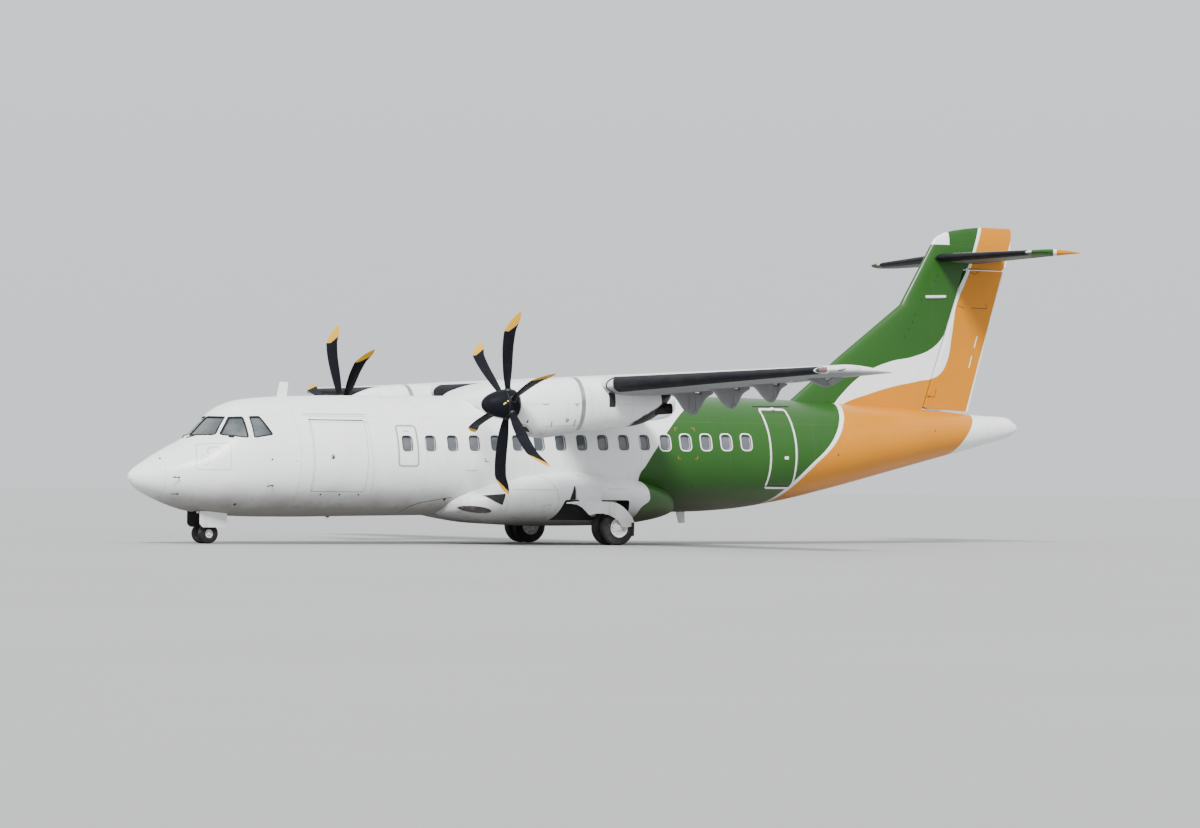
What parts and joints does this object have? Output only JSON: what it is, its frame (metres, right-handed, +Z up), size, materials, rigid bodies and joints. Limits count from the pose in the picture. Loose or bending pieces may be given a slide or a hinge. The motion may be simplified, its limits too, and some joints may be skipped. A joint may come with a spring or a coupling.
{
  "type": "twin-turboprop regional airliner",
  "caption": "High-wing regional airliner with twin six-blade turboprops, a T-tail, a retractable-type undercarriage shown down, an airstair door and a cargo hatch.",
  "frame": {"origin": "on the ground under the middle of the aircraft's length, in its plane of symmetry", "axes": "+X aft along the fuselage, +Y to starboard, +Z up"},
  "size_m": [22.67, 24.57, 7.51],
  "materials": {
    "fuselage_white": "gloss",
    "livery_green": "gloss",
    "livery_orange": "gloss",
    "wing_white": "satin",
    "nacelle_white": "gloss",
    "engine_metal": "satin",
    "exhaust_metal": "matte",
    "blade_black": "satin",
    "spinner_dark": "satin",
    "window_glass": "gloss",
    "interior_plastic": "matte",
    "gear_steel": "satin",
    "rim_aluminium": "satin",
    "tyre_rubber": "matte"
  },
  "bodies": {
    "airframe": {"radome": "fuselage_white", "nose_section": "fuselage_white", "forward_fuselage": "fuselage_white", "centre_fuselage": "fuselage_white", "tail_cone": "fuselage_white", "main_gear_fairing": "fuselage_white", "wing_body_fairing": "fuselage_white", "top_antenna": "fuselage_white", "belly_antenna": "fuselage_white", "aft_fuselage": "livery_green", "service_door": "livery_green", "fin": "livery_green", "tail_fuselage": "livery_orange", "flight_deck_glazing": "window_glass", "flight_deck_interior": "interior_plastic", "wing_centre": "wing_white", "tailplane": "wing_white", "wing_outer_left": "wing_white", "nacelle_left": "nacelle_white", "engine_left": "engine_metal", "exhaust_left": "exhaust_metal", "main_leg_left": "gear_steel", "main_gear_door_left": "fuselage_white", "nose_gear_door_left": "fuselage_white", "wing_outer_right": "wing_white", "nacelle_right": "nacelle_white", "engine_right": "engine_metal", "exhaust_right": "exhaust_metal", "main_leg_right": "gear_steel", "main_gear_door_right": "fuselage_white", "nose_gear_door_right": "fuselage_white", "nose_leg": "gear_steel"},
    "steering": {"nose_steering": "gear_steel"},
    "nose_wheel_pair": {"nose_wheels": "rim_aluminium", "nose_tyre_left": "tyre_rubber", "nose_tyre_right": "tyre_rubber"},
    "rudder": {"rudder": "livery_orange"},
    "elevators": {"elevator_left": "wing_white", "elevator_right": "wing_white"},
    "airstair": {"passenger_door": "livery_green"},
    "cargo_hatch": {"cargo_door": "fuselage_white"},
    "main_wheel_pair_left": {"main_wheels_left": "rim_aluminium", "main_tyre_left_inner": "tyre_rubber", "main_tyre_left_outer": "tyre_rubber"},
    "propeller_set_left": {"propeller_left": "blade_black", "spinner_left": "spinner_dark"},
    "aileron_left": {"aileron_left": "wing_white"},
    "flap_inner_left": {"flap_inner_left": "wing_white"},
    "flap_outer_left": {"flap_outer_left": "wing_white"},
    "main_wheel_pair_right": {"main_wheels_right": "rim_aluminium", "main_tyre_right_inner": "tyre_rubber", "main_tyre_right_outer": "tyre_rubber"},
    "propeller_set_right": {"propeller_right": "blade_black", "spinner_right": "spinner_dark"},
    "aileron_right": {"aileron_right": "wing_white"},
    "flap_inner_right": {"flap_inner_right": "wing_white"},
    "flap_outer_right": {"flap_outer_right": "wing_white"}
  },
  "joints": [
    {"name": "nose_steering_turn", "type": "hinge", "parent": "airframe", "child": "steering", "pos_m": [-9.62, 0, 0.4], "axis": [0, 0, 1], "range_deg": [-60, 60]},
    {"name": "nose_wheels_spin", "type": "hinge", "parent": "steering", "child": "nose_wheel_pair", "pos_m": [-9.582, 0, 0.215], "axis": [0, 1, 0], "continuous": true},
    {"name": "main_wheels_spin_left", "type": "hinge", "parent": "airframe", "child": "main_wheel_pair_left", "pos_m": [-0.805, -2.05, 0.388], "axis": [0, 1, 0], "continuous": true},
    {"name": "propeller_spin_left", "type": "hinge", "parent": "airframe", "child": "propeller_set_left", "pos_m": [-4.482, -4.05, 3], "axis": [0.9986, 0, 0.0523], "continuous": true},
    {"name": "main_wheels_spin_right", "type": "hinge", "parent": "airframe", "child": "main_wheel_pair_right", "pos_m": [-0.805, 2.05, 0.388], "axis": [0, 1, 0], "continuous": true},
    {"name": "propeller_spin_right", "type": "hinge", "parent": "airframe", "child": "propeller_set_right", "pos_m": [-4.482, 4.05, 3], "axis": [0.9986, 0, 0.0523], "continuous": true},
    {"name": "rudder_turn", "type": "hinge", "parent": "airframe", "child": "rudder", "pos_m": [8.695, 0, 3.15], "axis": [0.3353, 0, 0.9421], "range_deg": [-27, 27]},
    {"name": "elevators_turn", "type": "hinge", "parent": "airframe", "child": "elevators", "pos_m": [10.215, 0, 6.74], "axis": [0, 1, 0], "range_deg": [-23, 13]},
    {"name": "aileron_turn_left", "type": "hinge", "parent": "airframe", "child": "aileron_left", "pos_m": [-0.59, -8.7, 3.503], "axis": [0, 0.9997, -0.0245], "range_deg": [-14, 14]},
    {"name": "flap_inner_turn_left", "type": "hinge", "parent": "airframe", "child": "flap_inner_left", "pos_m": [-0.715, -2.5, 2.87], "axis": [0, 1, 0], "range_deg": [0, 35]},
    {"name": "flap_outer_turn_left", "type": "hinge", "parent": "airframe", "child": "flap_outer_left", "pos_m": [-0.715, -5.37, 2.87], "axis": [0, 0.9978, -0.0669], "range_deg": [0, 35]},
    {"name": "aileron_turn_right", "type": "hinge", "parent": "airframe", "child": "aileron_right", "pos_m": [-0.59, 8.7, 3.503], "axis": [0, 0.9997, 0.0245], "range_deg": [-14, 14]},
    {"name": "flap_inner_turn_right", "type": "hinge", "parent": "airframe", "child": "flap_inner_right", "pos_m": [-0.715, 2.5, 2.87], "axis": [0, 1, 0], "range_deg": [0, 35]},
    {"name": "flap_outer_turn_right", "type": "hinge", "parent": "airframe", "child": "flap_outer_right", "pos_m": [-0.715, 5.37, 2.87], "axis": [0, 0.9978, 0.0669], "range_deg": [0, 35]},
    {"name": "airstair_turn", "type": "hinge", "parent": "airframe", "child": "airstair", "pos_m": [3.605, -1.12737, 1.31], "axis": [0.9892, 0.1467, 0], "range_deg": [0, 135]},
    {"name": "cargo_hatch_turn", "type": "hinge", "parent": "airframe", "child": "cargo_hatch", "pos_m": [-7.695, -1.07149, 2.66], "axis": [0.9996, -0.0287, 0], "range_deg": [-105, 0]}
  ],
  "couplings": [
    {"joint": "aileron_turn_right", "follows": "aileron_turn_left", "ratio": -1},
    {"joint": "flap_inner_turn_right", "follows": "flap_inner_turn_left", "ratio": 1},
    {"joint": "flap_outer_turn_left", "follows": "flap_inner_turn_left", "ratio": 1},
    {"joint": "flap_outer_turn_right", "follows": "flap_inner_turn_left", "ratio": 1}
  ]
}
